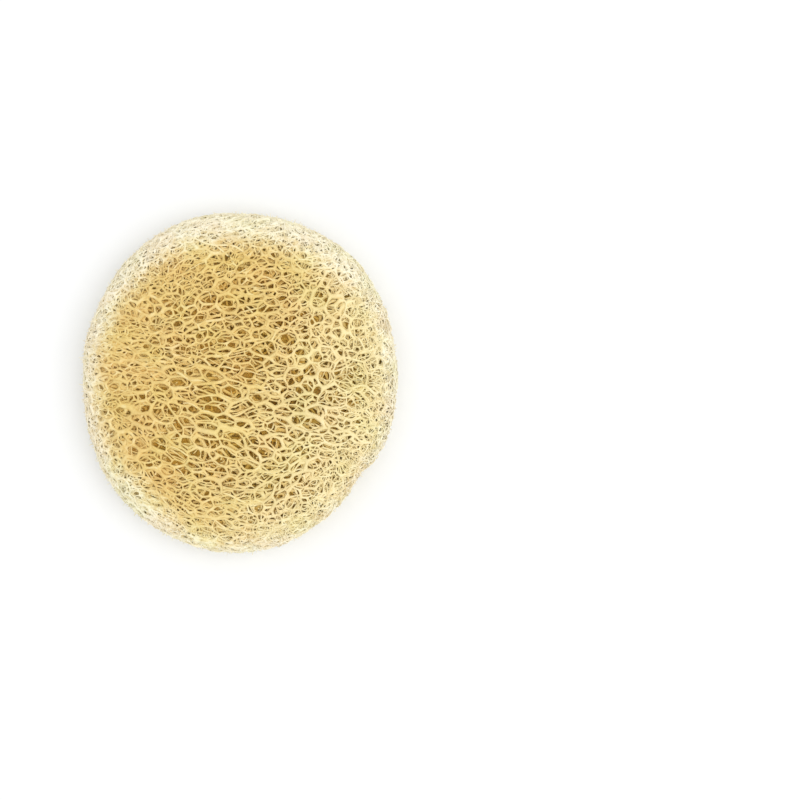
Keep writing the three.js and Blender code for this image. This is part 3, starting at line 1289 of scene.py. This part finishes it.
@dataclass
class CutEnds(Fibres):
    """Fine loose ends that stand out of the net, most of them at the rim."""

    name: str = "cut_ends"
    count: int = 3400
    radius: float = 0.13 * MM
    radius_limits: tuple[float, float] = (0.7, 1.4)
    steps: int = 4
    sides: int = 4
    seed: int = 617
    length: float = 1.5 * MM
    length_limits: tuple[float, float] = (0.4, 1.1)
    face_share: float = 0.4
    rim_density: float = 25.0
    rim_from: float = 0.8
    root_depth: float = 0.6 * MM
    slant: float = 0.75
    curl: float = 0.35
    taper: float = 0.5

    def lay(self, rng: np.random.Generator) -> tuple[np.ndarray, np.ndarray]:
        """Lays ends that start in the net, leave it at a slant and bend a little.

        Args:
            rng: The source of random draws.

        Returns:
            The paths, and the radius at each of their points.
        """
        places = self.form.scatter(self.count, self.rim_density, rng, self.rim_from)
        root = self.form.place(places, self.root_depth)
        way = unit(self.form.normal(root) + rng.normal(0.0, self.slant, root.shape))
        bend = unit(rng.normal(size=root.shape))
        share = np.linspace(0.0, 1.0, self.steps)[:, None]
        stand = self.face_share + (1.0 - self.face_share) * self.form.rim_share(root)[:, None, None]
        length = self.length * stand * self.draw(rng, self.length_limits)[..., None]
        paths = root[:, None] + length * (way[:, None] * share + self.curl * bend[:, None] * share**2)
        return paths, self.radius * self.draw(rng, self.radius_limits) * (1.0 - self.taper * share[:, 0])


@dataclass
class Sponge:
    """The whole sponge: its form, its finish and all its layers of fibre."""

    form: PadForm = field(default_factory=PadForm)
    finish: StrawFinish = StrawFinish("dried_fibre")

    def parts(self) -> list[FibreNet | Mat | Fibres]:
        """Everything that the sponge is made of: nets and mat from the outside in, then loose fibres."""
        six = Section.SIX_SIDED
        long, longer, middling, short = Grain(1.7), Grain(1.9), Grain(1.4), Grain(1.3)
        return [
            self._net("outer_net", 1350, 0.93, 0.45, 101, long, section=six, mids=1, evenness=0.6),
            self._net("second_net", 2000, 0.79, 0.65, 202, longer, section=six, mids=1, evenness=0.5),
            self._net("third_net", 1700, 0.86, 1.4, 303, long, mids=1, evenness=0.7),
            self._net("fourth_net", 1800, 0.86, 2.1, 404, middling),
            self._net("fifth_net", 1900, 0.85, 2.9, 505, short, waviness=0.4 * MM),
            self._net("deep_net", 1900, 0.8, 3.6, 606, long, waviness=0.4 * MM),
            Mat(self.form, self.finish),
            self._veins(),
            GrainFibres(self.form, self.finish),
            BridgeFibres(self.form, self.finish),
            RimFelt(self.form, self.finish),
            CutEnds(self.form, self.finish),
        ]

    def _net(
        self, name: str, cells: int, width: float, depth: float, seed: int, grain: Grain, **rest: Any
    ) -> FibreNet:
        """One of the nets. Its fibres' width and depth are in millimetres."""
        sizes = (cells, width * MM, depth * MM, seed, grain)
        return FibreNet(name, self.form, self.finish, *sizes, **rest)

    def _veins(self) -> GrainFibres:
        """The few thicker and longer fibres, which lean a little less than the others."""
        sizes = {"count": 110, "length": 34.0 * MM, "radius": 0.46 * MM, "lean_spread": 0.45}
        return GrainFibres(self.form, self.finish, name="vein_fibres", seed=431, **sizes)

    def build(self) -> None:
        """Builds every layer and reports it."""
        for part in self.parts():
            piece = part.build()
            triangles = sum(len(face.vertices) - 2 for face in piece.data.polygons)
            LOG.info("%s: %d triangles", piece.name, triangles)


@dataclass
class Studio:
    """A pale floor, soft light from above and a camera that looks straight down."""

    form: PadForm
    mm_per_pixel: float = 125.0 / 339.0
    pad_pixel: tuple[float, float] = (240.0, 383.0)
    picture: float = 800.0
    lens: float = 50.0
    sensor: float = 36.0
    nearest: float = 10.0 * MM
    floor_reach: float = 1.5
    floor_colour: tuple[float, float, float, float] = (0.95, 0.96, 0.97, 1.0)
    floor_roughness: float = 0.9
    floor_specular: float = 0.1
    surround: float = 0.88
    key_place: tuple[float, float, float] = (0.4, -0.05, 0.88)
    key_size: float = 0.7
    key_power: float = 2.92

    def build(self) -> None:
        """Makes the camera, the floor and the lights."""
        self._camera()
        self._floor()
        self._lights()

    def _camera(self) -> None:
        """Looks down from over the middle of the photograph, at its scale at the pad's mid height."""
        width = self.picture * self.mm_per_pixel * MM
        distance = width * self.lens / self.sensor
        shift = [(self.picture / 2 - pixel) * self.mm_per_pixel * MM for pixel in self.pad_pixel]
        low, high = CAD_BOX
        data = bpy.data.cameras.new("camera")
        data.lens = self.lens
        data.sensor_width = self.sensor
        data.clip_start = self.nearest
        camera = bpy.data.objects.new("camera", data)
        bpy.context.scene.collection.objects.link(camera)
        middle = (low + high) / 2
        camera.location = (middle.x + shift[0], middle.y - shift[1], self.form.middle[2] + distance)
        bpy.context.scene.camera = camera

    def _floor(self) -> None:
        """A wide matt white plane at the level that the pad rests on."""
        half, low = self.floor_reach, CAD_BOX[0].z
        points = np.array([[-half, -half, low], [half, -half, low], [half, half, low], [-half, half, low]])
        floor = mesh_object("floor", points, np.array([[0, 1, 2, 3]]))
        material = bpy.data.materials.new("white_ground")
        Graph(material).finish({
            "Base Color": self.floor_colour,
            "Roughness": self.floor_roughness,
            "Specular IOR Level": self.floor_specular,
        })
        floor.data.materials.append(material)

    def _lights(self) -> None:
        """A white surround and one large soft light, to the right of the camera."""
        world = bpy.data.worlds.new("surround")
        world.use_nodes = True
        background = world.node_tree.nodes["Background"]
        background.inputs["Color"].default_value = (1.0, 1.0, 1.0, 1.0)
        background.inputs["Strength"].default_value = self.surround
        bpy.context.scene.world = world
        data = bpy.data.lights.new("key", "AREA")
        data.size = self.key_size
        data.energy = self.key_power
        light = bpy.data.objects.new("key", data)
        light.location = self.key_place
        light.rotation_euler = (-Vector(self.key_place)).to_track_quat("-Z", "Y").to_euler()
        bpy.context.scene.collection.objects.link(light)


def main() -> None:
    """Builds the studio and the sponge."""
    logging.basicConfig(level=logging.INFO, format="%(name)s: %(message)s")
    bpy.context.scene.view_settings.view_transform = "Standard"
    sponge = Sponge()
    Studio(sponge.form).build()
    sponge.build()


if __name__ == "__main__":
    main()
